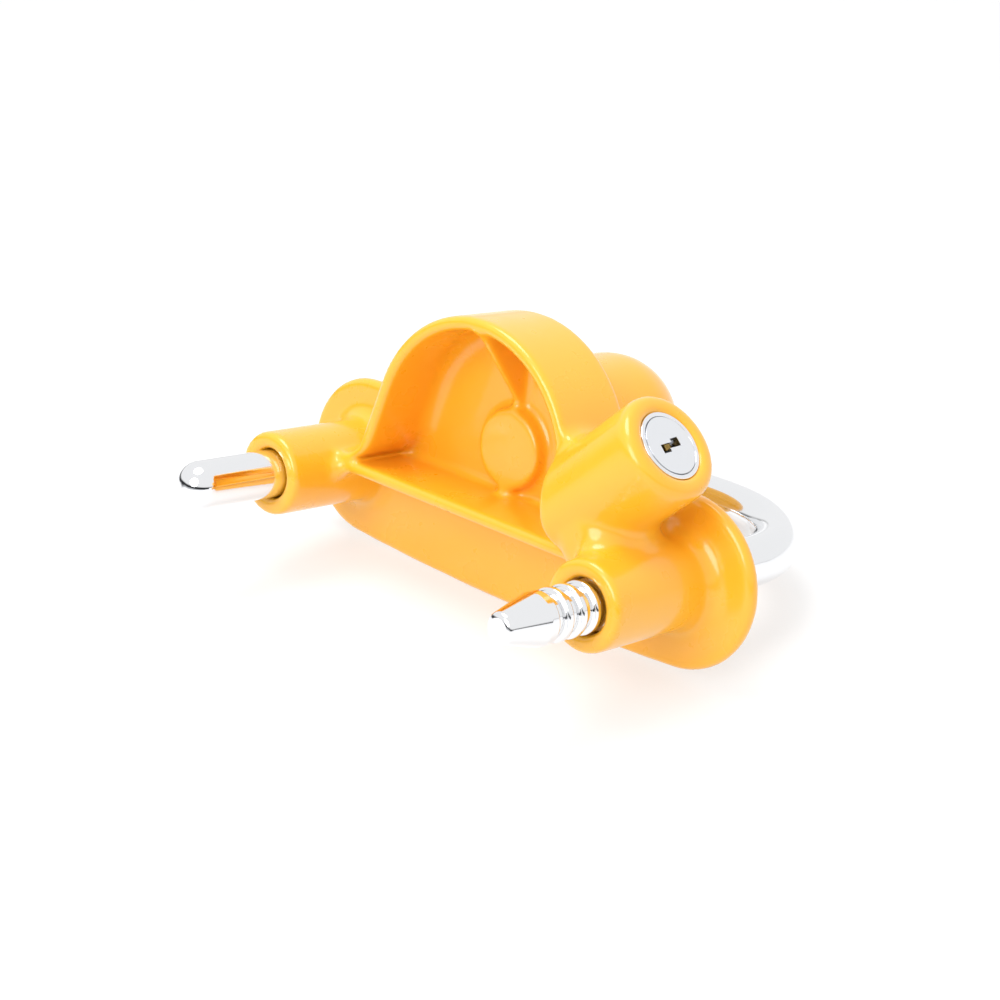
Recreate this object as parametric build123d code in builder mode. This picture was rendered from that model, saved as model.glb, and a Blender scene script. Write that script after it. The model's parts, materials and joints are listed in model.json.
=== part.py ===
"""Ratcheting trailer coupler lock: a cast body, a U-shackle and a wafer lock that holds it.

The origin lies midway between the shackle's legs, on the face of the shield plate that meets the coupler.
+X runs from the plain leg to the notched leg, +Y into the coupler, +Z towards the top of the hood.
"""

from build123d import *
import os
from math import atan2, cos, degrees, radians, sin, tan

os.makedirs("parts", exist_ok=True)

# ---- Driving dimensions, mm -------------------------------------------------------------------

# Shackle
leg_diameter = 12.7
leg_spacing = 111.8
bow_height = 59.0            # plate's rear face to the bow's centre line
bow_corner_radius = 35.0
plain_leg_reach = 66.5       # plate's rear face to the tip of the plain leg
notched_leg_reach = 65.5
cone_length = 11.0
cone_tip_diameter = 5.6
cone_tip_chamfer = 1.0       # turned off the cone's blunt end
notch_count = 9
notch_pitch = 4.6
notch_width = 3.0
notch_depth = 1.2
first_notch_reach = 50.6     # plate's rear face to the notch nearest the tip

# Cast body
plate_thickness = 4.0
plate_lobe_radius = 22.0
plate_belly = 2.0            # how far the plate's lower edge bows below its lobes
plate_edge_radius = 1.5
tube_length = 34.5
tube_diameter = 22.3
hood_radius = 34.0
hood_axis_height = 19.0
hood_lean = 18.0             # degrees the hood's sides lean out
hood_depth = 19.5
hood_wall = 3.5
hood_flare_radius = 8.0
lip_height = 1.5             # flare's outer foot above the shelf
shelf_top = 5.6
shelf_thickness = 3.4
boss_radius = 10.5
boss_height = 18.0
boss_length = 4.0
rib_thickness = 2.4
rib_setback = 1.5            # from the hood's front edge
rib_end_depth = 1.0          # how far the rib stands out at its front end, and at the boss
post_radius = 19.2
post_axis_height = 20.4
post_length = 48.7

# Key barrel and what it holds; depths are measured from the barrel's end face
barrel_tilt = 43.0           # degrees above the horizontal
barrel_radius = 13.4
barrel_face_offset = 4.1     # barrel's end face beyond the notched leg's axis, along X
barrel_face_z = 37.1
barrel_edge_radius = 2.2
barrel_length = 37.0
neck_width = 21.0
neck_thickness = 17.0
neck_corner_radius = 6.0
neck_centre_y = -20.5
ring_wall = 0.85             # how far the ring and the housing's rim stand out round the housing
ring_recess = 0.5
ring_thickness = 2.0
ring_lip = 0.6               # thickness of the chromed face ring
ring_edge_radius = 0.2
housing_wall = 2.05
housing_length = 17.0
plug_diameter = 11.6
plug_head_rim = 1.5          # how far the head stands out round the plug
plug_head_thickness = 1.6
plug_shoulder = 0.6          # plug's length beyond its clip
plug_tail_diameter = 6.0
tail_end_depth = 23.4
drive_pin_diameter = 2.0
drive_pin_offset = 1.0
drive_pin_end = 1.6          # how far the pin stands past the pawl's axis
key_angle = 90.0
keyway_turn = -4.0           # degrees from the Y direction, towards the notched leg
keyway_depth = 16.2
keyway_slot = (1.3, 6.6)     # width and length of the keyway's middle slot
keyway_ward = (2.2, 2.6)     # size of the wider ward at each end of it
keyway_offset = 0.4          # each ward's step to its own side
wafer_count = 6
wafer_pitch = 2.1
wafer_thickness = 0.9
wafer_width = 6.2
wafer_height = 8.2
wafer_ear = 1.2
first_wafer_depth = 4.6
wafer_window_width = 3.4
wafer_window_height = 5.6
wafer_code_step = 0.35
wafer_window_drop = 0.5      # window's middle below the wafer's, at code 0
wafer_ear_top = 0.2          # ear's upper side above the wafer's middle
wafer_channel_depth = 0.9    # how far a wafer can drop into the housing
wafer_codes = (0, 2, 1, 3, 0, 2)
wafer_spring_diameter = 0.9
wafer_spring_turns = 4
wafer_spring_wire = 0.2
wafer_spring_length = 2.4
wafer_spring_room = 0.4      # spring hole's extra length
seal_section = 1.4
seal_depth = 4.6
seal_groove_depth = 1.4
clip_thickness = 0.7
clip_groove_depth = 1.3
clip_rim = 0.8               # how far the clip stands out round the plug
clip_gap = 5.0
housing_pin_diameter = 2.5
housing_pin_depth = 12.0
housing_pin_seat = 1.4       # how far the pin stands into the housing
housing_pin_proud = 0.15     # how far its end stands out of the barrel
housing_pin_chamfer = 0.3
return_spring_wire = 0.8
return_spring_diameter = 8.8
return_spring_length = 3.0
return_spring_turns = 2.25
pawl_diameter = 6.5
pawl_back_length = 4.6       # from the barrel's axis to the pawl's back end
guide_wall = 1.2             # metal round the upper end of the pawl's guide
pawl_tip_width = 2.4
pawl_tip_length = 2.0
pawl_tip_share = 0.8         # tip's length across the pawl, as a share of its diameter
pawl_tip_root = 1.0          # how far the tip runs into the pawl
pawl_window_end = 2.0        # how far the window runs past the pawl's axis
pawl_spring_hole_depth = 2.3
pawl_spring_diameter = 3.8
pawl_spring_wire = 0.5
pawl_spring_turns = 6
pawl_spring_pocket_depth = 3.4
chamber_overlap = 1.0        # how far the cam chamber runs into the pawl's guide

# Clearances, on the radius or on each side
fit_clearance = 0.05
slide_clearance = 0.10
drive_clearance = 0.12
wafer_clearance = 0.05
notch_clearance = 0.4
leg_clearance = 0.4
wafer_channel_clearance = 0.2
chamber_clearance = 0.4      # round the plug's clip
pawl_end_clearance = 0.3
spring_clearance = 0.3
spring_end_clearance = 0.1

# ---- Places worked out from them --------------------------------------------------------------

leg_x = leg_spacing / 2
leg_radius = leg_diameter / 2
leg_bore_radius = leg_radius + leg_clearance
tube_radius = tube_diameter / 2
shelf_underside = shelf_top - shelf_thickness
hood_front_y = -(plate_thickness + hood_depth)
pawl_notch = 8               # the notch that the pawl stands in, counted from the tip
barrel_y = -first_notch_reach + (pawl_notch - 1) * notch_pitch

tilt = radians(barrel_tilt)
barrel_direction = Vector(cos(tilt), 0, sin(tilt))
pawl_direction = Vector(sin(tilt), 0, -cos(tilt))
barrel_face = Vector(leg_x + barrel_face_offset, barrel_y, barrel_face_z)
# Local x points at the notched leg, local y along +Y, local z out of the keyhole
barrel_plane = Plane(origin=barrel_face, x_dir=pawl_direction, z_dir=barrel_direction)
leg_from_face = Vector(leg_x, barrel_y, 0) - barrel_face
pawl_depth = -leg_from_face.dot(barrel_direction)
leg_offset = leg_from_face.dot(pawl_direction)
pawl_plane = Plane(
    origin=barrel_face - barrel_direction * pawl_depth,
    x_dir=Vector(0, 1, 0),
    z_dir=pawl_direction,
)

cam_plane = Plane(
    origin=barrel_face - barrel_direction * pawl_depth,
    x_dir=pawl_direction,
    z_dir=barrel_direction,
)

housing_diameter = plug_diameter + 2 * (fit_clearance + housing_wall)
ring_diameter = housing_diameter + 2 * ring_wall
housing_end = ring_recess + housing_length
head_end = ring_recess + plug_head_thickness
plug_head_diameter = plug_diameter + 2 * plug_head_rim
head_seat_diameter = plug_head_diameter + 2 * fit_clearance
clip_depth = housing_end + fit_clearance
clip_groove_diameter = plug_diameter - 2 * clip_groove_depth
clip_diameter = plug_diameter + 2 * clip_rim
chamber_radius = clip_diameter / 2 + chamber_clearance
plug_body_end = clip_depth + clip_thickness + plug_shoulder
drive_pin_shift = drive_pin_offset * sin(radians(key_angle / 2))
drive_pin_radius = drive_pin_diameter / 2
pawl_travel = 2 * drive_pin_shift
pawl_radius = pawl_diameter / 2
pawl_tip = leg_offset - (leg_radius - notch_depth + notch_clearance)
pawl_bore_end = -pawl_back_length - pawl_travel - pawl_end_clearance
spring_pocket_end = pawl_bore_end - pawl_spring_pocket_depth
spring_pocket_radius = pawl_spring_diameter / 2 + spring_clearance
spring_hole_end = pawl_spring_hole_depth - pawl_back_length
keyway_angle = radians(keyway_turn)
keyway_direction = pawl_direction * sin(keyway_angle) + Vector(0, cos(keyway_angle), 0)
keyway_plane = Plane(
    origin=barrel_face,
    x_dir=keyway_direction.cross(barrel_direction),
    z_dir=barrel_direction,
)
housing_pin_plane = Plane(
    origin=barrel_face
    - barrel_direction * housing_pin_depth
    + Vector(0, housing_diameter / 2 - housing_pin_seat, 0),
    x_dir=barrel_direction,
    z_dir=(0, 1, 0),
)


def half_bell(radius, foot_height, flare_radius):
    """Right half of the hood's outline: round top, leaning side and flare. Gives its two ends."""
    lean = radians(hood_lean)
    halfway = radians((90 + hood_lean) / 2)
    top = (0, hood_axis_height + radius)
    middle = (radius * cos(halfway), hood_axis_height + radius * sin(halfway))
    shoulder = (radius * cos(lean), hood_axis_height + radius * sin(lean))
    bend_height = foot_height + flare_radius * (1 - sin(lean))
    bend = (shoulder[0] + (shoulder[1] - bend_height) * tan(lean), bend_height)
    ThreePointArc(top, middle, shoulder)
    Line(shoulder, bend)
    flare = JernArc(
        start=bend,
        tangent=(sin(lean), -cos(lean)),
        radius=flare_radius,
        arc_size=90 - hood_lean,
    )
    return top, flare @ 1


# ---- Cast body --------------------------------------------------------------------------------

# The plate's belly is one large arc that is tangent to both lobes
belly_rise = (leg_x**2 - plate_belly**2) / (2 * plate_belly)
belly_radius = belly_rise + plate_lobe_radius + plate_belly
belly_angle = degrees(atan2(leg_x, belly_rise))
belly_foot = (
    belly_radius * sin(radians(belly_angle)),
    belly_rise - belly_radius * cos(radians(belly_angle)),
)

with BuildPart() as lock_body:
    # Shield plate
    with BuildSketch(Plane.XZ):
        with Locations((-leg_x, 0), (leg_x, 0)):
            Circle(plate_lobe_radius)
        with Locations((0, plate_lobe_radius / 2)):
            Rectangle(leg_spacing, plate_lobe_radius)
        with BuildLine():
            Polyline((-belly_foot[0], belly_foot[1]), (-leg_x, 0), (leg_x, 0), belly_foot)
            ThreePointArc(
                belly_foot,
                (0, -plate_lobe_radius - plate_belly),
                (-belly_foot[0], belly_foot[1]),
            )
        make_face()
        with Locations((0, hood_axis_height)):
            Circle(hood_radius)
    extrude(amount=plate_thickness)
    fillet(lock_body.edges().filter_by(Plane.XZ), radius=plate_edge_radius)

    # Hood, still solid
    with BuildSketch(Plane.XZ.offset(plate_thickness / 2)):
        with BuildLine():
            top, foot = half_bell(hood_radius, shelf_top + lip_height, hood_flare_radius)
            Polyline(
                foot,
                (leg_x, foot.Y),
                (leg_x, shelf_underside),
                (0, shelf_underside),
                top,
            )
        make_face()
        mirror(about=Plane.YZ)
    extrude(amount=hood_depth + plate_thickness / 2)

    # Key barrel, and the neck that carries the pawl across to the notched leg
    with BuildSketch(barrel_plane):
        Circle(barrel_radius)
    extrude(amount=-barrel_length)
    fillet(
        lock_body.faces().filter_by(barrel_plane).sort_by(Axis.Z)[-1].edges(),
        radius=barrel_edge_radius,
    )
    with BuildSketch(pawl_plane):
        with Locations((neck_centre_y - barrel_y, 0)):
            RectangleRounded(neck_width, neck_thickness, neck_corner_radius)
    extrude(amount=leg_offset)
    # In front of the plate, the barrel and the neck end at the shelf's underside
    with BuildSketch(Plane.XY.offset(shelf_underside)):
        with Locations((leg_x / 2, -plate_thickness - tube_length)):
            Rectangle(leg_spacing, 2 * tube_length)
    extrude(amount=-2 * barrel_length, mode=Mode.SUBTRACT)

    # Hollow of the hood
    with BuildSketch(Plane.XZ.offset(plate_thickness)):
        with BuildLine():
            top, foot = half_bell(
                hood_radius - hood_wall, shelf_top, hood_flare_radius + hood_wall
            )
            Polyline(foot, (0, shelf_top), top)
        make_face()
        mirror(about=Plane.YZ)
    extrude(amount=hood_depth + tube_length, mode=Mode.SUBTRACT)

    # Tubes
    with BuildSketch(Plane.XZ.offset(plate_thickness / 2)):
        with Locations((-leg_x, 0), (leg_x, 0)):
            Circle(tube_radius)
    extrude(amount=tube_length + plate_thickness / 2)

    # Bulge on the hollow's flank that houses the pawl's guide and its spring's pocket
    with BuildSketch(pawl_plane.offset(spring_pocket_end - guide_wall)):
        Circle(pawl_radius + slide_clearance + guide_wall)
    extrude(amount=guide_wall - spring_pocket_end)

    # Rib and boss on the hollow's back wall
    with BuildSketch(Plane.XZ.offset(plate_thickness / 2)):
        with Locations((0, boss_height)):
            Circle(boss_radius)
    extrude(amount=boss_length + plate_thickness / 2)
    with BuildSketch(Plane.YZ):
        with BuildLine():
            Polyline(
                (-plate_thickness / 2, hood_axis_height + hood_radius - hood_wall / 2),
                (hood_front_y + rib_setback, hood_axis_height + hood_radius - hood_wall / 2),
                (hood_front_y + rib_setback, hood_axis_height + hood_radius - hood_wall - rib_end_depth),
                (-plate_thickness - rib_end_depth, boss_height + boss_radius),
                (-plate_thickness / 2, boss_height + boss_radius),
                close=True,
            )
        make_face()
    extrude(amount=rib_thickness / 2, both=True)

    # Post that goes up into the coupler's ball socket
    with BuildSketch(Plane.YZ):
        with BuildLine():
            Polyline(
                (post_length - post_radius, post_axis_height + post_radius),
                (-plate_thickness / 2, post_axis_height + post_radius),
                (-plate_thickness / 2, post_axis_height),
                (post_length, post_axis_height),
            )
            JernArc(
                start=(post_length, post_axis_height),
                tangent=(0, 1),
                radius=post_radius,
                arc_size=90,
            )
        make_face()
    revolve(axis=Axis((0, 0, post_axis_height), (0, 1, 0)))

    # Bores for the legs
    with BuildSketch(Plane.XZ.offset(-plate_thickness)):
        with Locations((-leg_x, 0), (leg_x, 0)):
            Circle(leg_bore_radius)
    extrude(amount=tube_length + 3 * plate_thickness, mode=Mode.SUBTRACT)

    # Stepped bore for the lock cylinder, with the chamber for its cam below
    for radius, depth in (
        (ring_diameter / 2 + fit_clearance, ring_recess + ring_thickness),
        (housing_diameter / 2 + fit_clearance, housing_end + fit_clearance),
        (chamber_radius, pawl_depth - pawl_radius + chamber_overlap),
    ):
        with BuildSketch(barrel_plane):
            Circle(radius)
        extrude(amount=-depth, mode=Mode.SUBTRACT)

    # Guide for the pawl, open into the notched leg's bore, and the pocket for its spring
    for radius, start, end in (
        (pawl_radius + slide_clearance, pawl_bore_end, leg_offset),
        (spring_pocket_radius, spring_pocket_end, 0),
    ):
        with BuildSketch(pawl_plane.offset(start)):
            Circle(radius)
        extrude(amount=end - start, mode=Mode.SUBTRACT)
    # Cross hole for the housing's pin, drilled from above the plate
    with BuildSketch(housing_pin_plane):
        Circle(housing_pin_diameter / 2)
    extrude(amount=barrel_radius, mode=Mode.SUBTRACT)
lock_body.part.label = "lock_body"
export_step(lock_body.part, "parts/lock_body.step")


# ---- Shackle ----------------------------------------------------------------------------------

with BuildPart() as shackle:
    with BuildLine() as bow_path:
        FilletPolyline(
            (-leg_x, -plain_leg_reach + leg_radius, 0),
            (-leg_x, bow_height, 0),
            (leg_x, bow_height, 0),
            (leg_x, -notched_leg_reach + cone_length, 0),
            radius=bow_corner_radius,
        )
    with BuildSketch(Plane(origin=bow_path.line @ 0, z_dir=bow_path.line % 0)):
        Circle(leg_radius)
    sweep()
    # Domed end of the plain leg
    with Locations((-leg_x, -plain_leg_reach + leg_radius, 0)):
        Sphere(leg_radius)
    # Cone and notches of the other leg
    with BuildSketch(Plane.XY):
        with BuildLine():
            Polyline(
                (leg_x, -notched_leg_reach + cone_length),
                (leg_x + leg_radius, -notched_leg_reach + cone_length),
                (leg_x + cone_tip_diameter / 2 + cone_tip_chamfer, -notched_leg_reach + cone_tip_chamfer),
                (leg_x + cone_tip_diameter / 2 - cone_tip_chamfer, -notched_leg_reach),
                (leg_x, -notched_leg_reach),
                close=True,
            )
        make_face()
    revolve(axis=Axis((leg_x, 0, 0), (0, 1, 0)))
    for notch in range(notch_count):
        notch_y = -first_notch_reach + notch * notch_pitch
        with BuildSketch(Plane.XY):
            with Locations((leg_x + leg_radius, notch_y)):
                Rectangle(2 * notch_depth, notch_width)
        revolve(axis=Axis((leg_x, 0, 0), (0, 1, 0)), mode=Mode.SUBTRACT)
shackle.part.label = "shackle"
export_step(shackle.part, "parts/shackle.step")


# ---- Lock cylinder: what stays still ----------------------------------------------------------


def disc(diameter, near_depth, far_depth, mode=Mode.ADD):
    """Round length of the open part, between two depths on the barrel's axis."""
    with Locations(barrel_plane.offset(-far_depth)):
        Cylinder(
            diameter / 2,
            far_depth - near_depth,
            align=(Align.CENTER, Align.CENTER, Align.MIN),
            mode=mode,
        )


with BuildPart() as face_ring:
    disc(ring_diameter, ring_recess, ring_recess + ring_lip)
    disc(head_seat_diameter, 0, ring_recess + ring_lip, Mode.SUBTRACT)
    barrel_axis = Axis(barrel_face, barrel_direction)
    fillet(
        face_ring.edges().filter_by(GeomType.CIRCLE).group_by(barrel_axis)[-1],
        radius=ring_edge_radius,
    )
face_ring.part.label = "face_ring"
export_step(face_ring.part, "parts/face_ring.step")

with BuildPart() as cylinder_housing:
    disc(ring_diameter, ring_recess + ring_lip, ring_recess + ring_thickness)
    disc(housing_diameter, ring_recess + ring_thickness, housing_end)
    disc(head_seat_diameter, 0, head_end + fit_clearance, Mode.SUBTRACT)
    disc(plug_diameter + 2 * fit_clearance, 0, housing_end, Mode.SUBTRACT)
    # Groove for the seal
    groove_centre = barrel_plane.offset(-seal_depth - seal_section / 2).origin
    with BuildSketch(Plane(origin=groove_centre, x_dir=pawl_direction, z_dir=(0, -1, 0))):
        with Locations((housing_diameter / 2, 0)):
            Rectangle(2 * seal_groove_depth, seal_section + 2 * fit_clearance)
    revolve(axis=Axis(groove_centre, barrel_direction), mode=Mode.SUBTRACT)
    # Channels that the wafers drop into when the key is drawn
    with BuildSketch(keyway_plane.offset(-first_wafer_depth + wafer_pitch / 2)):
        Rectangle(
            wafer_width + 2 * wafer_channel_clearance,
            plug_diameter + 2 * wafer_channel_depth,
        )
    extrude(amount=-wafer_count * wafer_pitch, mode=Mode.SUBTRACT)
    with BuildSketch(housing_pin_plane):
        Circle(housing_pin_diameter / 2)
    extrude(amount=barrel_radius, mode=Mode.SUBTRACT)
cylinder_housing.part.label = "cylinder_housing"
export_step(cylinder_housing.part, "parts/cylinder_housing.step")

with BuildPart() as cylinder_seal:
    with BuildSketch(Plane(origin=groove_centre, x_dir=pawl_direction, z_dir=(0, -1, 0))):
        with Locations((housing_diameter / 2 - seal_groove_depth + seal_section / 2, 0)):
            Circle(seal_section / 2)
    revolve(axis=Axis(groove_centre, barrel_direction))
cylinder_seal.part.label = "cylinder_seal"
export_step(cylinder_seal.part, "parts/cylinder_seal.step")

with BuildPart() as housing_pin:
    with BuildSketch(housing_pin_plane):
        Circle(housing_pin_diameter / 2)
    extrude(amount=barrel_radius - housing_diameter / 2 + housing_pin_seat + housing_pin_proud)
    chamfer(housing_pin.edges().filter_by(GeomType.CIRCLE).sort_by(Axis.Y)[-1], length=housing_pin_chamfer)
housing_pin.part.label = "housing_pin"
export_step(housing_pin.part, "parts/housing_pin.step")

# ---- Lock cylinder: what turns with the key ---------------------------------------------------

wafer_depths = [first_wafer_depth + n * wafer_pitch for n in range(wafer_count)]
ear_x = wafer_width / 2 + wafer_ear / 2

with BuildPart() as cylinder_plug:
    disc(plug_head_diameter, ring_recess, head_end)
    disc(plug_diameter, head_end, clip_depth)
    disc(clip_groove_diameter, clip_depth, clip_depth + clip_thickness)
    disc(plug_diameter, clip_depth + clip_thickness, plug_body_end)
    disc(plug_tail_diameter, plug_body_end, tail_end_depth)
    # Eccentric pin that draws the pawl
    with BuildSketch(cam_plane.offset(-drive_pin_end)):
        with Locations((drive_pin_shift, -drive_pin_shift)):
            Circle(drive_pin_radius)
    extrude(amount=pawl_depth + drive_pin_end - tail_end_depth)
    # Keyway: a slot with a wider ward at each end, stepped to opposite sides
    ward_y = (keyway_slot[1] - keyway_ward[1]) / 2
    with BuildSketch(keyway_plane):
        Rectangle(*keyway_slot)
        with Locations((-keyway_offset, ward_y), (keyway_offset, -ward_y)):
            Rectangle(*keyway_ward)
    extrude(amount=-keyway_depth, mode=Mode.SUBTRACT)
    # Slots for the wafers and blind holes for their springs
    for depth in wafer_depths:
        with BuildSketch(keyway_plane.offset(-depth + wafer_thickness / 2 + wafer_clearance)):
            Rectangle(wafer_width + 2 * wafer_clearance, plug_diameter)
            with Locations((ear_x + wafer_clearance / 2, wafer_ear_top + wafer_spring_length)):
                Rectangle(
                    wafer_ear + wafer_clearance,
                    wafer_spring_length + wafer_ear + wafer_spring_room,
                    align=(Align.CENTER, Align.MAX),
                )
        extrude(amount=-wafer_thickness - 2 * wafer_clearance, mode=Mode.SUBTRACT)
cylinder_plug.part.label = "cylinder_plug"
export_step(cylinder_plug.part, "parts/cylinder_plug.step")

for number, (depth, code) in enumerate(zip(wafer_depths, wafer_codes), start=1):
    shift = code * wafer_code_step
    with BuildPart() as wafer:
        with BuildSketch(keyway_plane.offset(-depth - wafer_thickness / 2)):
            Rectangle(wafer_width, wafer_height)
            with Locations((ear_x, wafer_ear_top)):
                Rectangle(wafer_ear, wafer_ear, align=(Align.CENTER, Align.MAX))
            with Locations((0, shift - wafer_window_drop)):
                Rectangle(wafer_window_width, wafer_window_height, mode=Mode.SUBTRACT)
        extrude(amount=wafer_thickness)
    wafer.part.label = f"wafer_{number}"
    export_step(wafer.part, f"parts/wafer_{number}.step")

    # Its spring stands between the ear and the end of the plug's slot
    spring_base = keyway_plane.offset(-depth)
    spring_base.origin = spring_base.from_local_coords((ear_x, wafer_ear_top + wafer_spring_wire, 0))
    with BuildPart() as wafer_spring:
        with BuildLine():
            coil = Helix(
                pitch=(wafer_spring_length - 2 * wafer_spring_wire) / wafer_spring_turns,
                height=wafer_spring_length - 2 * wafer_spring_wire,
                radius=(wafer_spring_diameter - wafer_spring_wire) / 2,
                center=spring_base.origin,
                direction=keyway_direction,
            )
        with BuildSketch(Plane(origin=coil @ 0, z_dir=coil % 0)):
            Circle(wafer_spring_wire / 2)
        sweep(is_frenet=True)
    wafer_spring.part.label = f"wafer_spring_{number}"
    export_step(wafer_spring.part, f"parts/wafer_spring_{number}.step")

with BuildPart() as plug_clip:
    disc(clip_diameter, clip_depth, clip_depth + clip_thickness)
    disc(clip_groove_diameter, clip_depth, clip_depth + clip_thickness, Mode.SUBTRACT)
    with BuildSketch(barrel_plane.offset(-clip_depth)):
        with Locations((0, clip_diameter / 2)):
            Rectangle(clip_gap, clip_diameter)
    extrude(amount=-clip_thickness, mode=Mode.SUBTRACT)
plug_clip.part.label = "plug_clip"
export_step(plug_clip.part, "parts/plug_clip.step")

with BuildPart() as return_spring:
    with BuildLine():
        coil = Helix(
            pitch=return_spring_length / return_spring_turns,
            height=return_spring_length,
            radius=(return_spring_diameter - return_spring_wire) / 2,
            center=barrel_plane.offset(-plug_body_end - return_spring_wire).origin,
            direction=-barrel_direction,
        )
    with BuildSketch(Plane(origin=coil @ 0, z_dir=coil % 0)):
        Circle(return_spring_wire / 2)
    sweep(is_frenet=True)
return_spring.part.label = "return_spring"
export_step(return_spring.part, "parts/return_spring.step")

# ---- Pawl and its spring ----------------------------------------------------------------------

with BuildPart() as locking_pawl:
    with BuildSketch(pawl_plane.offset(-pawl_back_length)):
        Circle(pawl_radius)
    extrude(amount=pawl_tip - pawl_tip_length + pawl_back_length)
    # Tip: square towards the leg's end, sloped towards the bow, so that the leg can ratchet in
    with BuildSketch(cam_plane):
        with BuildLine():
            Polyline(
                (pawl_tip - pawl_tip_length - pawl_tip_root, -pawl_tip_width / 2),
                (pawl_tip, -pawl_tip_width / 2),
                (pawl_tip, 0),
                (pawl_tip - notch_depth, pawl_tip_width / 2),
                (pawl_tip - pawl_tip_length - pawl_tip_root, pawl_tip_width / 2),
                close=True,
            )
        make_face()
    extrude(amount=pawl_radius * pawl_tip_share, both=True)
    # Window for the plug's eccentric pin, with room for the pawl to ratchet back alone
    with BuildSketch(cam_plane.offset(pawl_radius)):
        with Locations((drive_pin_shift - drive_pin_radius - drive_clearance, 0)):
            Rectangle(
                drive_pin_diameter + 2 * drive_clearance + pawl_travel,
                2 * (drive_pin_offset + drive_pin_radius + 2 * drive_clearance),
                align=(Align.MIN, Align.CENTER),
            )
    extrude(amount=-pawl_radius - pawl_window_end, mode=Mode.SUBTRACT)
    with BuildSketch(pawl_plane.offset(-pawl_back_length)):
        Circle(spring_pocket_radius)
    extrude(amount=pawl_spring_hole_depth, mode=Mode.SUBTRACT)
locking_pawl.part.label = "locking_pawl"
export_step(locking_pawl.part, "parts/locking_pawl.step")

with BuildPart() as pawl_spring:
    with BuildLine():
        coil = Helix(
            pitch=(spring_hole_end - spring_pocket_end - pawl_spring_wire) / pawl_spring_turns,
            height=spring_hole_end - spring_pocket_end - pawl_spring_wire - 2 * spring_end_clearance,
            radius=(pawl_spring_diameter - pawl_spring_wire) / 2,
            center=pawl_plane.offset(
                spring_pocket_end + pawl_spring_wire / 2 + spring_end_clearance
            ).origin,
            direction=pawl_direction,
        )
    with BuildSketch(Plane(origin=coil @ 0, z_dir=coil % 0)):
        Circle(pawl_spring_wire / 2)
    sweep(is_frenet=True)
pawl_spring.part.label = "pawl_spring"
export_step(pawl_spring.part, "parts/pawl_spring.step")
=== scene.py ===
import json
from math import asin, cos, pi, radians, sin

import bmesh
import bpy
import numpy as np
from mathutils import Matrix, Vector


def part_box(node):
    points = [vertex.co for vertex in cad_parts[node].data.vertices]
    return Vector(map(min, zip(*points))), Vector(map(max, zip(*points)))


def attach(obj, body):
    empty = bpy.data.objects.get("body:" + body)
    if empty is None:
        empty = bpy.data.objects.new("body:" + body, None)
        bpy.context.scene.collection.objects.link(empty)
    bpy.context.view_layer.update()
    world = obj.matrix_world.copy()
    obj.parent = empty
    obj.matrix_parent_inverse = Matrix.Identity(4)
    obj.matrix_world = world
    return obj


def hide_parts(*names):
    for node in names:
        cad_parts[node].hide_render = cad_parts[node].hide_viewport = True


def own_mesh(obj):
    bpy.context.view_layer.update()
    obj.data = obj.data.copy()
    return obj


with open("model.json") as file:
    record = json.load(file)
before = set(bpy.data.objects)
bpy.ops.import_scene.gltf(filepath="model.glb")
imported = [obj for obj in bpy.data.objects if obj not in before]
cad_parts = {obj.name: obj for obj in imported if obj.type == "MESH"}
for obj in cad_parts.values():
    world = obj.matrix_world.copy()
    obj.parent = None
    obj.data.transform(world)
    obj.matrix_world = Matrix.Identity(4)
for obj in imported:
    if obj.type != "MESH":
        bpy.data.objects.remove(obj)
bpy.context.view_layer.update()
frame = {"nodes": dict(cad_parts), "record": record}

import openvdb
from bpy.props import FloatProperty, FloatVectorProperty, IntProperty, PointerProperty
from mathutils import Matrix, Vector

bl_info = {
    "name": "Trailer Coupler Lock",
    "version": (1, 0, 0),
    "blender": (4, 5, 0),
    "location": "3D View > Sidebar > Coupler Lock",
    "description": "Builds the looks of a ratcheting trailer coupler lock round its CAD frame",
    "category": "Object",
}

MM = 0.001

SHACKLE_LOW, SHACKLE_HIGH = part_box("shackle")
BODY_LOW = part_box("lock_body")[0]
BAR_RADIUS = (SHACKLE_HIGH[2] - SHACKLE_LOW[2]) / 2
LEG_X = SHACKLE_HIGH[0] - BAR_RADIUS
BOW_Y = SHACKLE_HIGH[1] - BAR_RADIUS
JOINTS = {joint["name"]: joint for joint in frame["record"]["behaviour"]["joints"]}
KEY_POINT = Vector(JOINTS["key_turn"]["pos_m"])
KEY_AXIS = -Vector(JOINTS["key_turn"]["axis"]).normalized()


# ---- Colours and nodes --------------------------------------------------------------------------


def srgb(hex_colour):
    """Linear red, green and blue of an sRGB hex colour such as "#FDB93C"."""
    channels = [int(hex_colour[place:place + 2], 16) / 255 for place in (1, 3, 5)]
    return tuple(c / 12.92 if c <= 0.04045 else ((c + 0.055) / 1.055) ** 2.4 for c in channels)


def rgba(colour):
    """The colour with full opacity."""
    return (*colour, 1.0)


def node(tree, kind, settings=None, links=None):
    """Adds a node with its settings, which are attributes or input values, and its links.

    A link names an input, and gives the socket that feeds it or a node whose first output does.
    """
    made = tree.nodes.new(kind)
    for key, value in (settings or {}).items():
        if isinstance(key, str) and hasattr(made, key):
            setattr(made, key, value)
        else:
            made.inputs[key].default_value = value
    for key, source in (links or {}).items():
        tree.links.new(getattr(source, "outputs", [source])[0], made.inputs[key])
    return made


def new_material(name, finish):
    """A material whose Principled shader has a finish's settings, and its Object coordinates."""
    material = bpy.data.materials.new(name)
    material.use_nodes = True
    tree = material.node_tree
    tree.nodes.clear()
    shader = node(tree, "ShaderNodeBsdfPrincipled", finish)
    node(tree, "ShaderNodeOutputMaterial", links={"Surface": shader.outputs["BSDF"]})
    place = node(tree, "ShaderNodeTexCoord").outputs["Object"]
    return material, tree, shader, place


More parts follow.
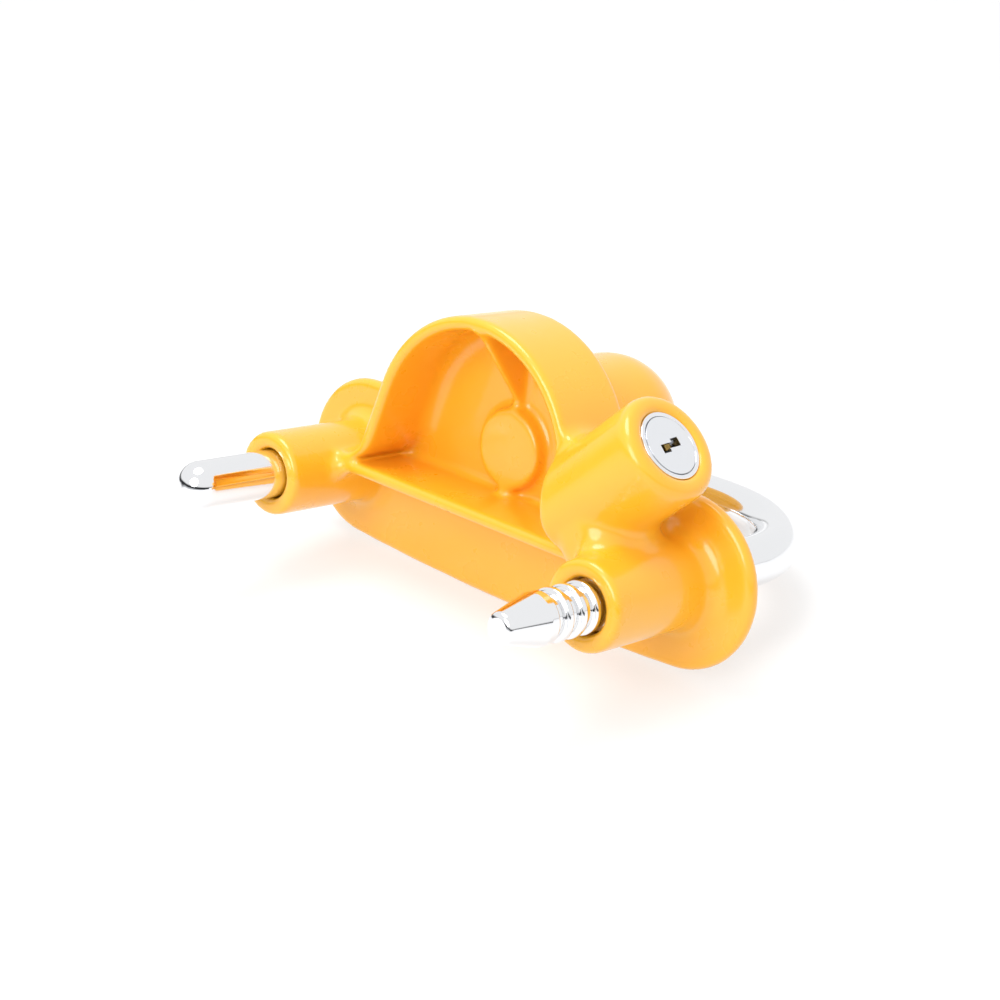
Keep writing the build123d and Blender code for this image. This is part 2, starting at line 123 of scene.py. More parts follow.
# ---- Materials ----------------------------------------------------------------------------------


def powder_coat(colour, shade):
    """Baked polyester powder coat on a die casting: glossy, saturated, with faint orange peel."""
    finish = {"IOR": 1.5, "Coat Weight": 0.6, "Coat Roughness": 0.09}
    material, tree, shader, place = new_material("powder_coat_yellow", finish)
    # Film build-up varies over some 30 mm, which shifts the yellow towards orange
    drift = node(tree, "ShaderNodeTexNoise", {"Scale": 1 / (30 * MM)}, {"Vector": place})
    share = node(
        tree, "ShaderNodeMapRange", {"From Min": 0.3, "From Max": 0.7, "To Max": 0.35}, {"Value": drift}
    )
    tint = node(
        tree, "ShaderNodeMix", {"data_type": "RGBA", 6: rgba(colour), 7: rgba(shade)}, {"Factor": share}
    )
    # Orange peel: waves about 2.5 mm long, with finer ones on them, a few microns tall
    waves = node(tree, "ShaderNodeTexNoise", {"Scale": 1 / (2.5 * MM), "Detail": 1.0}, {"Vector": place})
    peel = node(tree, "ShaderNodeBump", {"Distance": 0.006 * MM}, {"Height": waves})
    ripples = node(tree, "ShaderNodeTexNoise", {"Scale": 1 / (0.7 * MM), "Detail": 1.0}, {"Vector": place})
    grain = node(tree, "ShaderNodeBump", {"Distance": 0.002 * MM}, {"Height": ripples, "Normal": peel})
    cloud = node(tree, "ShaderNodeTexNoise", {"Scale": 1 / (9 * MM), "Detail": 4.0}, {"Vector": place})
    haze = node(
        tree,
        "ShaderNodeMapRange",
        {"From Min": 0.35, "From Max": 0.65, "To Min": 0.26, "To Max": 0.36},
        {"Value": cloud},
    )
    tree.links.new(tint.outputs[2], shader.inputs["Base Color"])
    tree.links.new(haze.outputs[0], shader.inputs["Roughness"])
    tree.links.new(grain.outputs[0], shader.inputs["Normal"])
    tree.links.new(grain.outputs[0], shader.inputs["Coat Normal"])
    return material


def chromed_bar(colour):
    """Hardened bar, centreless ground and then bright chromed: mirror-like, with rings of fine grinding."""
    finish = {"Metallic": 1.0, "Base Color": rgba(colour)}
    material, tree, shader, place = new_material("bright_chrome_bar", finish)
    # Grinding lines run round the bar; drawn about 0.25 mm apart so that they show
    round_bar = node(tree, "ShaderNodeMapping", {"Scale": (0.04, 1.0, 0.04)}, {"Vector": place})
    rings = node(tree, "ShaderNodeTexNoise", {"Scale": 1 / (0.25 * MM)}, {"Vector": round_bar})
    lines = node(tree, "ShaderNodeBump", {"Distance": 0.0012 * MM}, {"Height": rings})
    waves = node(tree, "ShaderNodeTexNoise", {"Scale": 1 / (5 * MM), "Detail": 1.0}, {"Vector": place})
    ripple = node(tree, "ShaderNodeBump", {"Distance": 0.004 * MM}, {"Height": waves, "Normal": lines})
    cloud = node(tree, "ShaderNodeTexNoise", {"Scale": 1 / (6 * MM), "Detail": 5.0}, {"Vector": place})
    haze = node(
        tree,
        "ShaderNodeMapRange",
        {"From Min": 0.35, "From Max": 0.7, "To Min": 0.05, "To Max": 0.13},
        {"Value": cloud},
    )
    tree.links.new(haze.outputs[0], shader.inputs["Roughness"])
    tree.links.new(ripple.outputs[0], shader.inputs["Normal"])
    return material


def pressed_stainless(colour):
    """Polished stainless strip, blanked and pressed: bright, with faint handling haze."""
    finish = {"Metallic": 1.0, "Base Color": rgba(colour)}
    material, tree, shader, place = new_material("pressed_stainless", finish)
    cloud = node(tree, "ShaderNodeTexNoise", {"Scale": 1 / (1.5 * MM), "Detail": 4.0}, {"Vector": place})
    haze = node(
        tree,
        "ShaderNodeMapRange",
        {"From Min": 0.3, "From Max": 0.7, "To Min": 0.06, "To Max": 0.16},
        {"Value": cloud},
    )
    waves = node(tree, "ShaderNodeTexNoise", {"Scale": 1 / (1.2 * MM)}, {"Vector": place})
    ripple = node(tree, "ShaderNodeBump", {"Distance": 0.002 * MM}, {"Height": waves})
    tree.links.new(haze.outputs[0], shader.inputs["Roughness"])
    tree.links.new(ripple.outputs[0], shader.inputs["Normal"])
    return material


def nickel_chrome(colour):
    """Turned brass, plated with nickel and chromium: bright, with fine key scratches round the keyway."""
    finish = {"Metallic": 1.0, "Base Color": rgba(colour)}
    material, tree, shader, place = new_material("nickel_chrome_on_brass", finish)
    drawn_out = node(tree, "ShaderNodeMapping", {"Scale": (1.0, 0.12, 1.0)}, {"Vector": place})
    fine = {"Scale": 1 / (0.35 * MM), "Detail": 3.0}
    marks = node(tree, "ShaderNodeTexNoise", fine, {"Vector": drawn_out})
    scratches = node(tree, "ShaderNodeBump", {"Distance": 0.003 * MM}, {"Height": marks})
    cloud = node(tree, "ShaderNodeTexNoise", {"Scale": 1 / (1.1 * MM), "Detail": 5.0}, {"Vector": place})
    haze = node(
        tree,
        "ShaderNodeMapRange",
        {"From Min": 0.35, "From Max": 0.65, "To Min": 0.07, "To Max": 0.2},
        {"Value": cloud},
    )
    tree.links.new(haze.outputs[0], shader.inputs["Roughness"])
    tree.links.new(scratches.outputs[0], shader.inputs["Normal"])
    return material


def plated_zinc(colour, pitted):
    """Zinc pressure casting with dull plating: satin, slightly pitted."""
    finish = {"Metallic": 1.0, "Roughness": 0.38}
    material, tree, shader, place = new_material("plated_zinc_casting", finish)
    skin = node(tree, "ShaderNodeTexNoise", {"Scale": 1 / (0.5 * MM), "Detail": 3.0}, {"Vector": place})
    pits = node(
        tree,
        "ShaderNodeMapRange",
        {"From Min": 0.3, "From Max": 0.45, "To Min": 1.0, "To Max": 0.0},
        {"Value": skin},
    )
    tint = node(
        tree, "ShaderNodeMix", {"data_type": "RGBA", 6: rgba(colour), 7: rgba(pitted)}, {"Factor": pits}
    )
    dents = node(tree, "ShaderNodeBump", {"Distance": 0.01 * MM}, {"Height": skin})
    tree.links.new(tint.outputs[2], shader.inputs["Base Color"])
    tree.links.new(dents.outputs[0], shader.inputs["Normal"])
    return material


def stamped_brass(colour, tarnish):
    """Brass strip, stamped and tumbled: warm, with tarnish in soft patches."""
    material, tree, shader, place = new_material("stamped_brass", {"Metallic": 1.0, "Roughness": 0.3})
    cloud = node(tree, "ShaderNodeTexNoise", {"Scale": 1 / (2 * MM), "Detail": 3.0}, {"Vector": place})
    patches = node(
        tree, "ShaderNodeMapRange", {"From Min": 0.4, "From Max": 0.7, "To Max": 0.7}, {"Value": cloud}
    )
    tint = node(
        tree, "ShaderNodeMix", {"data_type": "RGBA", 6: rgba(colour), 7: rgba(tarnish)}, {"Factor": patches}
    )
    drawn_out = node(tree, "ShaderNodeMapping", {"Scale": (1.0, 0.1, 1.0)}, {"Vector": place})
    marks = node(tree, "ShaderNodeTexNoise", {"Scale": 1 / (0.2 * MM)}, {"Vector": drawn_out})
    lines = node(tree, "ShaderNodeBump", {"Distance": 0.003 * MM}, {"Height": marks})
    tree.links.new(tint.outputs[2], shader.inputs["Base Color"])
    tree.links.new(lines.outputs[0], shader.inputs["Normal"])
    return material


def spring_wire(colour, oxide):
    """Cold-drawn spring wire: grey, with fine die marks and a little brown oxide."""
    finish = {"Metallic": 1.0, "Roughness": 0.32}
    material, tree, shader, place = new_material("drawn_spring_wire", finish)
    cloud = node(tree, "ShaderNodeTexNoise", {"Scale": 1 / (0.8 * MM), "Detail": 3.0}, {"Vector": place})
    film = node(
        tree, "ShaderNodeMapRange", {"From Min": 0.45, "From Max": 0.7, "To Max": 0.6}, {"Value": cloud}
    )
    tint = node(
        tree, "ShaderNodeMix", {"data_type": "RGBA", 6: rgba(colour), 7: rgba(oxide)}, {"Factor": film}
    )
    marks = node(tree, "ShaderNodeTexNoise", {"Scale": 1 / (0.15 * MM)}, {"Vector": place})
    lines = node(tree, "ShaderNodeBump", {"Distance": 0.003 * MM}, {"Height": marks})
    tree.links.new(tint.outputs[2], shader.inputs["Base Color"])
    tree.links.new(lines.outputs[0], shader.inputs["Normal"])
    return material


def ground_tool_steel(colour, oiled):
    """Hardened steel, ground: grey, with grinding lines and a dark film of oil."""
    finish = {"Metallic": 1.0, "Roughness": 0.3}
    material, tree, shader, place = new_material("ground_tool_steel", finish)
    cloud = node(tree, "ShaderNodeTexNoise", {"Scale": 1 / (1.6 * MM), "Detail": 4.0}, {"Vector": place})
    film = node(
        tree, "ShaderNodeMapRange", {"From Min": 0.4, "From Max": 0.7, "To Max": 0.8}, {"Value": cloud}
    )
    tint = node(
        tree, "ShaderNodeMix", {"data_type": "RGBA", 6: rgba(colour), 7: rgba(oiled)}, {"Factor": film}
    )
    drawn_out = node(tree, "ShaderNodeMapping", {"Scale": (1.0, 0.06, 1.0)}, {"Vector": place})
    marks = node(tree, "ShaderNodeTexNoise", {"Scale": 1 / (0.2 * MM)}, {"Vector": drawn_out})
    lines = node(tree, "ShaderNodeBump", {"Distance": 0.004 * MM}, {"Height": marks})
    tree.links.new(tint.outputs[2], shader.inputs["Base Color"])
    tree.links.new(lines.outputs[0], shader.inputs["Normal"])
    return material


def nitrile_rubber(colour, bloom):
    """Moulded nitrile rubber: near black, matt, with a grey bloom."""
    material, tree, shader, place = new_material("moulded_nitrile", {"Roughness": 0.55, "IOR": 1.52})
    cloud = node(tree, "ShaderNodeTexNoise", {"Scale": 1 / (1.5 * MM), "Detail": 4.0}, {"Vector": place})
    mask = node(
        tree, "ShaderNodeMapRange", {"From Min": 0.45, "From Max": 0.75, "To Max": 0.6}, {"Value": cloud}
    )
    tint = node(
        tree, "ShaderNodeMix", {"data_type": "RGBA", 6: rgba(colour), 7: rgba(bloom)}, {"Factor": mask}
    )
    skin = node(tree, "ShaderNodeTexNoise", {"Scale": 1 / (0.3 * MM)}, {"Vector": place})
    grain = node(tree, "ShaderNodeBump", {"Distance": 0.01 * MM}, {"Height": skin})
    tree.links.new(tint.outputs[2], shader.inputs["Base Color"])
    tree.links.new(grain.outputs[0], shader.inputs["Normal"])
    return material


def backlit_acrylic(colour, glow):
    """White acrylic sheet lit from below, as a light table: matt, with part of its white its own light."""
    finish = {
        "Roughness": 0.85,
        "IOR": 1.3,
        "Emission Color": rgba(srgb("#FFFFFF")),
        "Emission Strength": glow,
    }
    material, tree, shader, place = new_material("backlit_acrylic_sheet", finish)
    darker = tuple(0.98 * channel for channel in colour)
    cloud = node(tree, "ShaderNodeTexNoise", {"Scale": 1 / (200 * MM)}, {"Vector": place})
    tint = node(
        tree, "ShaderNodeMix", {"data_type": "RGBA", 6: rgba(colour), 7: rgba(darker)}, {"Factor": cloud}
    )
    tree.links.new(tint.outputs[2], shader.inputs["Base Color"])
    return material


# ---- Meshes -------------------------------------------------------------------------------------


def add_object(name, mesh):
    """Puts a mesh into the scene as an object at the origin."""
    made = bpy.data.objects.new(name, mesh)
    bpy.context.scene.collection.objects.link(made)
    return made


def place_piece(piece, body, replaced, material):
    """Gives a finished piece its material and tells the frame where it belongs."""
    piece.data.materials.clear()
    piece.data.materials.append(material)
    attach(piece, body)
    if replaced:
        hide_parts(*replaced)


def node_triangles(name):
    """A CAD node's points, in millimetres, and its triangles."""
    mesh = frame["nodes"][name].data
    points = np.empty(len(mesh.vertices) * 3, np.float32)
    mesh.vertices.foreach_get("co", points)
    mesh.calc_loop_triangles()
    corners = np.empty(len(mesh.loop_triangles) * 3, np.int32)
    mesh.loop_triangles.foreach_get("vertices", corners)
    return points.reshape(-1, 3) / MM, corners.reshape(-1, 3).astype(np.uint32)


def level_set(points, triangles, quads, voxel, reach):
    """Signed distance to a closed surface, kept within reach of it."""
    return openvdb.FloatGrid.createLevelSetFromPolygons(
        points.astype(np.float32),
        triangles=triangles if triangles is not None and len(triangles) else None,
        quads=quads if quads is not None and len(quads) else None,
        transform=openvdb.createLinearTransform(voxel),
        halfWidth=reach / voxel + 3,
    )


def moved_surface(points, triangles, quads, voxel, distances):
    """Moves a closed surface outwards by each distance in turn, or inwards by a negative one."""
    for distance in distances:
        grid = level_set(points, triangles, quads, voxel, abs(distance))
        points, triangles, quads = grid.convertToPolygons(distance, 0.0)
    return points, triangles, quads


def cell_distances(surface, voxel, low, shape):
    """Signed distance at every cell of a box, from a surface's level set."""
    values = np.empty(shape, np.float32)
    level_set(*surface, voxel, 2 * voxel).copyToArray(values, ijk=tuple(low))
    return values


def smooth_step(value, low, high):
    """0 below low, 1 above high, and an even curve between."""
    share = np.clip((value - low) / (high - low), 0.0, 1.0)
    return share * share * (3 - 2 * share)


def cast_rounding(points, triangles, voxel, fillet, tight_fillet, edge):
    """Rounds a solid as its casting die does, in millimetres.

    Inner corners get a fillet, or a tight one round the boss, the rib and the hollow's foot.
    Outer edges are rounded after that.
    """
    wide = moved_surface(points, triangles, None, voxel, (fillet, -fillet))
    tight = moved_surface(points, triangles, None, voxel, (tight_fillet, -tight_fillet))
    plain = (points, triangles, None)
    margin = 4 * voxel
    low = np.floor((points.min(axis=0) - margin) / voxel).astype(int)
    shape = tuple(np.ceil((points.max(axis=0) + margin) / voxel).astype(int) - low + 1)
    x, y, z = (
        np.arange(low[axis], low[axis] + shape[axis]).reshape(np.roll((-1, 1, 1), axis)) * voxel
        for axis in range(3)
    )
    tight_share, plain_share = corner_shares(x, y, z)
    mixed = (1 - tight_share) * cell_distances(wide, voxel, low, shape)
    mixed += tight_share * cell_distances(tight, voxel, low, shape)
    mixed = (1 - plain_share) * mixed + plain_share * cell_distances(plain, voxel, low, shape)
    surface = moved_surface(*surface_of(mixed, voxel, low), voxel, (-edge, edge))
    distances = softened(cell_distances(surface, voxel, low, shape), 3)
    return surface_of(distances, voxel, low), distances, low


def surface_of(distances, voxel, low):
    """Points, triangles and quads where the distances of a box of cells are 0."""
    grid = openvdb.FloatGrid()
    grid.copyFromArray(distances.astype(np.float32), ijk=tuple(low))
    grid.transform = openvdb.createLinearTransform(voxel)
    return grid.convertToPolygons(0.0, 0.0)


def softened(distances, passes):
    """Averages each cell with its neighbours, which takes out the dents that long, thin triangles leave."""
    for _ in range(passes):
        for axis in range(3):
            distances = (np.roll(distances, 1, axis) + 2 * distances + np.roll(distances, -1, axis)) / 4
    return distances


# Spans, in millimetres, over which the casting's corners change
HOLLOW_DEPTH = (3, 4)
HOLLOW_FLOOR = (4.5, 5.5)
HOLLOW_SIDES = (46, 48)
LOW_DOWN = (10, 16)
MIDDLE = (13, 17)
FOOT_SIDES = (28, 33)
FOOT_HEIGHT = (9, 14)
FOOT_DEPTH = (5.5, 7)


def corner_shares(x, y, z):
    """Where the casting's inner corners are tight, and where they aren't filled at all, from 0 to 1.

    They are tight in the hood's hollow, low down and near its middle, and plain where its floor runs
    out under the flared sides.
    """
    out = np.abs(x)
    hollow = smooth_step(-y, *HOLLOW_DEPTH) * smooth_step(z, *HOLLOW_FLOOR)
    hollow = hollow * (1 - smooth_step(out, *HOLLOW_SIDES))
    low_down = 1 - smooth_step(z, *LOW_DOWN)
    middle = 1 - smooth_step(out, *MIDDLE)
    foot = smooth_step(out, *FOOT_SIDES) * (1 - smooth_step(z, *FOOT_HEIGHT))
    return hollow * np.maximum(low_down, middle), hollow * foot * smooth_step(-y, *FOOT_DEPTH)


def smooth_normals(mesh, distances, low, voxel):
    """Points each vertex's normal up the slope of the distances, which no thin triangle disturbs."""
    points = np.empty(len(mesh.vertices) * 3, np.float32)
    mesh.vertices.foreach_get("co", points)
    cells = points.reshape(-1, 3) / (MM * voxel) - low
    first = np.clip(np.floor(cells).astype(int), 1, np.array(distances.shape) - 3)
    share = cells - first
    slopes = np.zeros_like(cells)
    for axis, slope in enumerate(np.gradient(distances)):
        for corner in np.ndindex(2, 2, 2):
            weight = np.prod([share[:, k] if corner[k] else 1 - share[:, k] for k in range(3)], axis=0)
            place = first + corner
            slopes[:, axis] += weight * slope[place[:, 0], place[:, 1], place[:, 2]]
    slopes /= np.maximum(np.linalg.norm(slopes, axis=1, keepdims=True), 1e-9)
    mesh.normals_split_custom_set_from_vertices(slopes.tolist())


def mesh_from(name, points, triangles, quads):
    """A mesh from points in millimetres and their faces."""
    faces = [tuple(face) for face in quads.tolist()] + [tuple(face) for face in triangles.tolist()]
    mesh = bpy.data.meshes.new(name)
    mesh.from_pydata((points * MM).tolist(), [], faces)
    mesh.validate()
    return mesh


def outward(mesh):
    """Turns a closed mesh's faces outwards."""
    work = bmesh.new()
    work.from_mesh(mesh)
    bmesh.ops.recalc_face_normals(work, faces=work.faces)
    work.to_mesh(mesh)
    work.free()


def bevelled_copy(name, source, width, segments):
    """A merged copy of a CAD node with its sharp edges rounded and smooth shading between them."""
    work = bmesh.new()
    work.from_mesh(frame["nodes"][source].data)
    bmesh.ops.remove_doubles(work, verts=work.verts, dist=0.001 * MM)
    bmesh.ops.dissolve_limit(work, angle_limit=radians(1.0), verts=work.verts, edges=work.edges)
    mesh = bpy.data.meshes.new(name)
    work.to_mesh(mesh)
    work.free()
    piece = add_object(name, mesh)
    bevel = piece.modifiers.new("Edge", "BEVEL")
    bevel.width = width
    bevel.segments = segments
    bevel.limit_method = "ANGLE"
    bevel.angle_limit = radians(40)
    bevel.use_clamp_overlap = True
    mesh = bpy.data.meshes.new_from_object(piece.evaluated_get(bpy.context.evaluated_depsgraph_get()))
    piece.modifiers.clear()
    piece.data = mesh
    mesh.shade_smooth()
    mesh.set_sharp_from_angle(angle=radians(35))
    return piece


def lathe(name, profile, sides):
    """Turns a closed outline of (radius, depth) points about the key barrel's axis."""
    across = KEY_AXIS.cross(Vector((0, 1, 0))).normalized()
    up = KEY_AXIS.cross(across).normalized()
    work = bmesh.new()
    rings = []
    for step in range(sides):
        angle = 2 * pi * step / sides
        out = across * cos(angle) + up * sin(angle)
        rings.append([work.verts.new(KEY_POINT + out * r - KEY_AXIS * d) for r, d in profile])
    for ring, following in zip(rings, rings[1:] + rings[:1]):
        for place in range(len(profile)):
            after = (place + 1) % len(profile)
            work.faces.new((ring[place], ring[after], following[after], following[place]))
    bmesh.ops.recalc_face_normals(work, faces=work.faces)
    mesh = bpy.data.meshes.new(name)
    work.to_mesh(mesh)
    work.free()
    mesh.shade_smooth()
    return add_object(name, mesh)


# ---- Geometry nodes: the shackle ----------------------------------------------------------------


SHACKLE_INPUTS = (
    ("Bar Radius", "NodeSocketFloat"),
    ("Leg X", "NodeSocketFloat"),
    ("Bow Y", "NodeSocketFloat"),
    ("Corner Radius", "NodeSocketFloat"),
    ("Plain Tip Y", "NodeSocketFloat"),
    ("Notched Tip Y", "NodeSocketFloat"),
    ("Cone Length", "NodeSocketFloat"),
    ("Cone Tip Radius", "NodeSocketFloat"),
    ("Tip Rounding", "NodeSocketFloat"),
    ("First Notch Y", "NodeSocketFloat"),
    ("Notch Pitch", "NodeSocketFloat"),
    ("Notch Width", "NodeSocketFloat"),
    ("Notch Depth", "NodeSocketFloat"),
    ("Last Notch", "NodeSocketFloat"),
    ("Edge Softness", "NodeSocketFloat"),
    ("Ring Spacing", "NodeSocketFloat"),
    ("Sides", "NodeSocketInt"),
    ("Material", "NodeSocketMaterial"),
)

# Sums, each as its result's name, what it does and what goes in
PATH_SUMS = (
    ("past middle", "GREATER_THAN", "index", 1.5),
    ("side", "MULTIPLY_ADD", "past middle", 2.0, -1.0),
    ("path x", "MULTIPLY", "side", "Leg X"),
    ("at start", "LESS_THAN", "index", 0.5),
    ("at end", "GREATER_THAN", "index", 2.5),
    ("at a tip", "ADD", "at start", "at end"),
    ("at bow", "SUBTRACT", 1.0, "at a tip"),
    ("plain end", "MULTIPLY", "at start", "Plain Tip Y"),
    ("both ends", "MULTIPLY_ADD", "at end", "Notched Tip Y", "plain end"),
    ("path y", "MULTIPLY_ADD", "at bow", "Bow Y", "both ends"),
)
RADIUS_SUMS = (
    # Dome of the plain leg
    ("on notched leg", "GREATER_THAN", "x", 0.0),
    ("from plain tip", "SUBTRACT", "y", "Plain Tip Y"),
    ("short of dome", "SUBTRACT", "Bar Radius", "from plain tip"),
    ("into dome", "MAXIMUM", "short of dome", 0.0),
    ("into dome squared", "MULTIPLY", "into dome", "into dome"),
    ("bar radius squared", "MULTIPLY", "Bar Radius", "Bar Radius"),
    ("dome squared", "SUBTRACT", "bar radius squared", "into dome squared"),
    ("dome squared or 0", "MAXIMUM", "dome squared", 0.0),
    ("dome", "SQRT", "dome squared or 0"),
    # Cone of the notched leg, with its blunt end rounded over
    ("from notched tip", "SUBTRACT", "y", "Notched Tip Y"),
    ("along cone", "DIVIDE", "from notched tip", "Cone Length"),
    ("cone from 0", "MAXIMUM", "along cone", 0.0),
    ("cone share", "MINIMUM", "cone from 0", 1.0),
    ("taper", "SUBTRACT", "Bar Radius", "Cone Tip Radius"),
    ("cone", "MULTIPLY_ADD", "cone share", "taper", "Cone Tip Radius"),
    ("along tip", "DIVIDE", "from notched tip", "Tip Rounding"),
    ("tip share", "MINIMUM", "along tip", 1.0),
    ("tip left", "SUBTRACT", 1.0, "tip share"),
    ("tip left squared", "MULTIPLY", "tip left", "tip left"),
    ("tip height squared", "SUBTRACT", 1.0, "tip left squared"),
    ("tip height squared or 0", "MAXIMUM", "tip height squared", 0.0),
    ("tip height", "SQRT", "tip height squared or 0"),
    ("tip drop", "SUBTRACT", 1.0, "tip height"),
    ("tip cut", "MULTIPLY", "tip drop", "Tip Rounding"),
    ("rounded cone", "SUBTRACT", "cone", "tip cut"),
    # The nearest notch's number, and how far inside it the ring lies
    ("from first notch", "SUBTRACT", "y", "First Notch Y"),
    ("notches along", "DIVIDE", "from first notch", "Notch Pitch"),
    ("whole notches", "ROUND", "notches along"),
    ("notch from 0", "MAXIMUM", "whole notches", 0.0),
    ("nearest notch", "MINIMUM", "notch from 0", "Last Notch"),
    ("notches away", "SUBTRACT", "notches along", "nearest notch"),
    ("notches away or 0", "ABSOLUTE", "notches away"),
    ("away", "MULTIPLY", "notches away or 0", "Notch Pitch"),
    ("half width", "MULTIPLY", "Notch Width", 0.5),
    ("inside", "SUBTRACT", "half width", "away"),
    ("wall slope", "DIVIDE", "inside", "Edge Softness"),
    ("wall middle", "ADD", "wall slope", 0.5),
    ("wall from 0", "MAXIMUM", "wall middle", 0.0),
    ("notch share", "MINIMUM", "wall from 0", 1.0),
    ("notch cut", "MULTIPLY", "notch share", "Notch Depth"),
    ("notched", "SUBTRACT", "rounded cone", "notch cut"),
    ("notched less dome", "SUBTRACT", "notched", "dome"),
    ("either leg", "MULTIPLY_ADD", "on notched leg", "notched less dome", "dome"),
    ("radius", "MAXIMUM", "either leg", 0.005 * MM),
)


def shackle_tree():
    """U-shaped bar: a filleted path, and a radius that follows the dome, the cone and the notches."""
    tree = bpy.data.node_groups.new("shackle_bar", "GeometryNodeTree")
    for name, kind in SHACKLE_INPUTS:
        tree.interface.new_socket(name, in_out="INPUT", socket_type=kind)
    tree.interface.new_socket("Geometry", in_out="OUTPUT", socket_type="NodeSocketGeometry")
    given = node(tree, "NodeGroupInput").outputs
    here = node(tree, "ShaderNodeSeparateXYZ", links={"Vector": node(tree, "GeometryNodeInputPosition")})
    found = {name: given[name] for name, _ in SHACKLE_INPUTS}
    found["index"] = node(tree, "GeometryNodeInputIndex").outputs[0]
    found["x"], found["y"] = here.outputs["X"], here.outputs["Y"]
    for name, operation, *values in PATH_SUMS + RADIUS_SUMS:
        numbers = {place: value for place, value in enumerate(values) if not isinstance(value, str)}
        links = {place: found[value] for place, value in enumerate(values) if isinstance(value, str)}
        settings = {"operation": operation, "label": name, **numbers}
        found[name] = node(tree, "ShaderNodeMath", settings, links).outputs[0]

    # Path: four points, with the two at the bow rounded
    points = node(tree, "GeometryNodeMeshLine", {"Count": 4})
    place = node(tree, "ShaderNodeCombineXYZ", links={"X": found["path x"], "Y": found["path y"]})
    moved = node(tree, "GeometryNodeSetPosition", links={"Geometry": points, "Position": place})
    path = node(tree, "GeometryNodeMeshToCurve", links={"Mesh": moved})
    links = {"Curve": path, "Radius": given["Corner Radius"]}
    rounded = node(tree, "GeometryNodeFilletCurve", {"mode": "POLY", "Count": 96}, links)
    links = {"Curve": rounded, "Length": given["Ring Spacing"]}
    even = node(tree, "GeometryNodeResampleCurve", {"mode": "LENGTH"}, links)
    upright = node(tree, "GeometryNodeSetCurveNormal", {"mode": "Z_UP"}, {"Curve": even})

    # Bar: a circle swept along it, as large as the sums say
    circle = node(tree, "GeometryNodeCurvePrimitiveCircle", {"Radius": 1.0}, {"Resolution": given["Sides"]})
    links = {"Curve": upright, "Profile Curve": circle, "Scale": found["radius"]}
    bar = node(tree, "GeometryNodeCurveToMesh", {"Fill Caps": True}, links)
    closed = node(tree, "GeometryNodeMergeByDistance", {"Distance": 0.002 * MM}, {"Geometry": bar})
    smooth = node(tree, "GeometryNodeSetShadeSmooth", {"Shade Smooth": True}, {"Geometry": closed})
    real = node(tree, "GeometryNodeRealizeInstances", links={"Geometry": smooth})
    links = {"Geometry": real, "Material": given["Material"]}
    finished = node(tree, "GeometryNodeSetMaterial", links=links)
    node(tree, "NodeGroupOutput", links={"Geometry": finished})
    return tree


def grown_mesh(name, tree, values):
    """Runs a node tree with the given inputs and gives its result as a plain mesh object."""
    piece = add_object(name, bpy.data.meshes.new(name))
    grower = piece.modifiers.new("Grow", "NODES")
    grower.node_group = tree
    for item in tree.interface.items_tree:
        if item.item_type == "SOCKET" and item.in_out == "INPUT":
            grower[item.identifier] = values[item.name]
    mesh = bpy.data.meshes.new_from_object(piece.evaluated_get(bpy.context.evaluated_depsgraph_get()))
    piece.modifiers.clear()
    piece.data = mesh
    return piece


# ---- Settings -----------------------------------------------------------------------------------


class CoatedBodySettings(bpy.types.PropertyGroup):
    fillet: FloatProperty(
        name="Fillet",
        description="Radius in the casting's inner corners",
        default=3.5 * MM,
        min=0.5 * MM,
        unit="LENGTH",
    )
    edge: FloatProperty(
        name="Edge",
        description="Radius on the casting's outer edges",
        default=0.7 * MM,
        min=0.2 * MM,
        unit="LENGTH",
    )
    tight_fillet: FloatProperty(
        name="Tight fillet",
        description="Radius in the corners round the boss, the rib and the hollow's foot",
        default=1.0 * MM,
        min=0.2 * MM,
        unit="LENGTH",
    )
    shaping_grid: FloatProperty(
        name="Shaping grid",
        description="Cell that the casting's rounding is worked out on",
        default=0.45 * MM,
        min=0.2 * MM,
        unit="LENGTH",
    )
    mesh_grid: FloatProperty(
        name="Mesh grid",
        description="Cell that the finished mesh is drawn on",
        default=0.76 * MM,
        min=0.4 * MM,
        unit="LENGTH",
    )
    colour: FloatVectorProperty(
        name="Powder coat",
        description="Colour of the powder coat",
        subtype="COLOR",
        size=3,
        default=srgb("#F8B428"),
    )
    shade: FloatVectorProperty(
        name="Thick powder coat",
        description="Colour where the coat is thickest",
        subtype="COLOR",
        size=3,
        default=srgb("#F2A81C"),
    )


